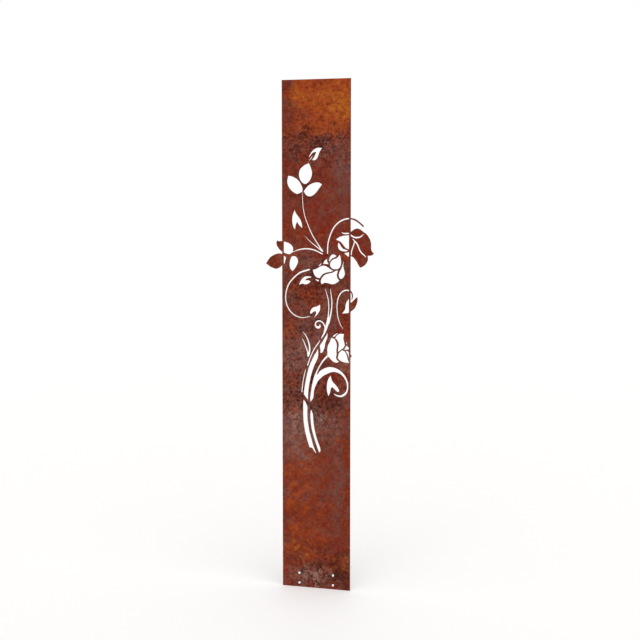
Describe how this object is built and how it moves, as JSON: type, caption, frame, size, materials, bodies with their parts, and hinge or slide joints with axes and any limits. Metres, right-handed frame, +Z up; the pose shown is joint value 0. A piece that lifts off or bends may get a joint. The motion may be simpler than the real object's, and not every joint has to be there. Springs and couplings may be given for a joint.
{
  "type": "laser cut metal screen",
  "caption": "Tall, narrow weathering-steel garden screen with a rose vine laser cut through it and past its long edges, bolted to a bent steel foot behind it.",
  "frame": {"origin": "middle of the sheet's bottom edge, at half the sheet's thickness, on the floor", "axes": "+Z up, +X to the viewer's right when facing the screen, the screen faces -Y and the foot runs back along +Y"},
  "size_m": [0.3935, 0.3048, 1.8],
  "materials": {
    "rusted_steel": "bare weathering steel with a matte, mottled rust patina",
    "bright_steel": "bright satin stainless steel"
  },
  "bodies": {
    "root": {"sheet": "rusted_steel", "foot": "rusted_steel", "screw_lower_left": "bright_steel", "washer_lower_left": "bright_steel", "nut_lower_left": "bright_steel", "screw_upper_left": "bright_steel", "washer_upper_left": "bright_steel", "nut_upper_left": "bright_steel", "screw_lower_right": "bright_steel", "washer_lower_right": "bright_steel", "nut_lower_right": "bright_steel", "screw_upper_right": "bright_steel", "washer_upper_right": "bright_steel", "nut_upper_right": "bright_steel"}
  },
  "joints": []
}
